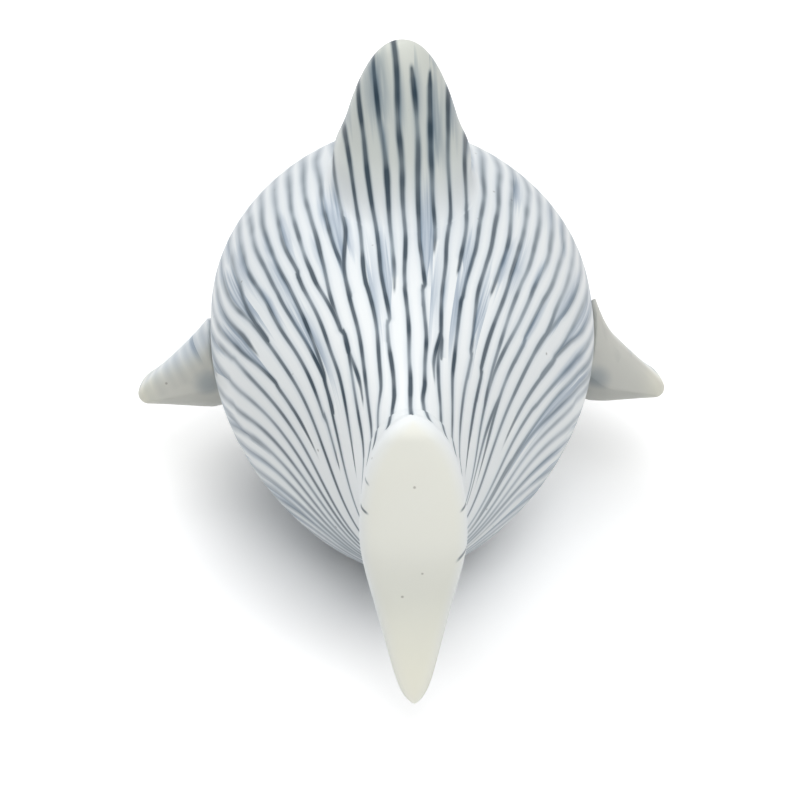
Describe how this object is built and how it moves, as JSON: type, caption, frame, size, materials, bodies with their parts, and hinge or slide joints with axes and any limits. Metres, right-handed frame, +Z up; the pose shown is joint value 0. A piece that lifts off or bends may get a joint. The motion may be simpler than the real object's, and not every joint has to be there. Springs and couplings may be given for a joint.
{
  "type": "shark figurine",
  "caption": "Plump porcelain shark ornament with painted stripes, a dorsal fin, stubby side fins and a thick upright tail; it stands on a flat foot.",
  "frame": {"origin": "on the flat foot, under the body's widest section", "axes": "+Z up, +Y from the tail to the snout, +X to the shark's right"},
  "size_m": [0.0838, 0.1281, 0.0775],
  "materials": {
    "painted_porcelain": "satin glaze over thin blue-grey painted lines",
    "cream_porcelain": "satin glaze, left unpainted on the rear faces",
    "fired_slip": "matt fired slip"
  },
  "bodies": {
    "root": {"body_shell": "painted_porcelain", "dorsal_fin": "painted_porcelain", "tail_fin": "cream_porcelain", "left_pectoral_fin": "cream_porcelain", "right_pectoral_fin": "cream_porcelain", "dorsal_slip_joint": "fired_slip", "tail_slip_joint": "fired_slip", "left_pectoral_slip_joint": "fired_slip", "right_pectoral_slip_joint": "fired_slip"}
  },
  "joints": []
}
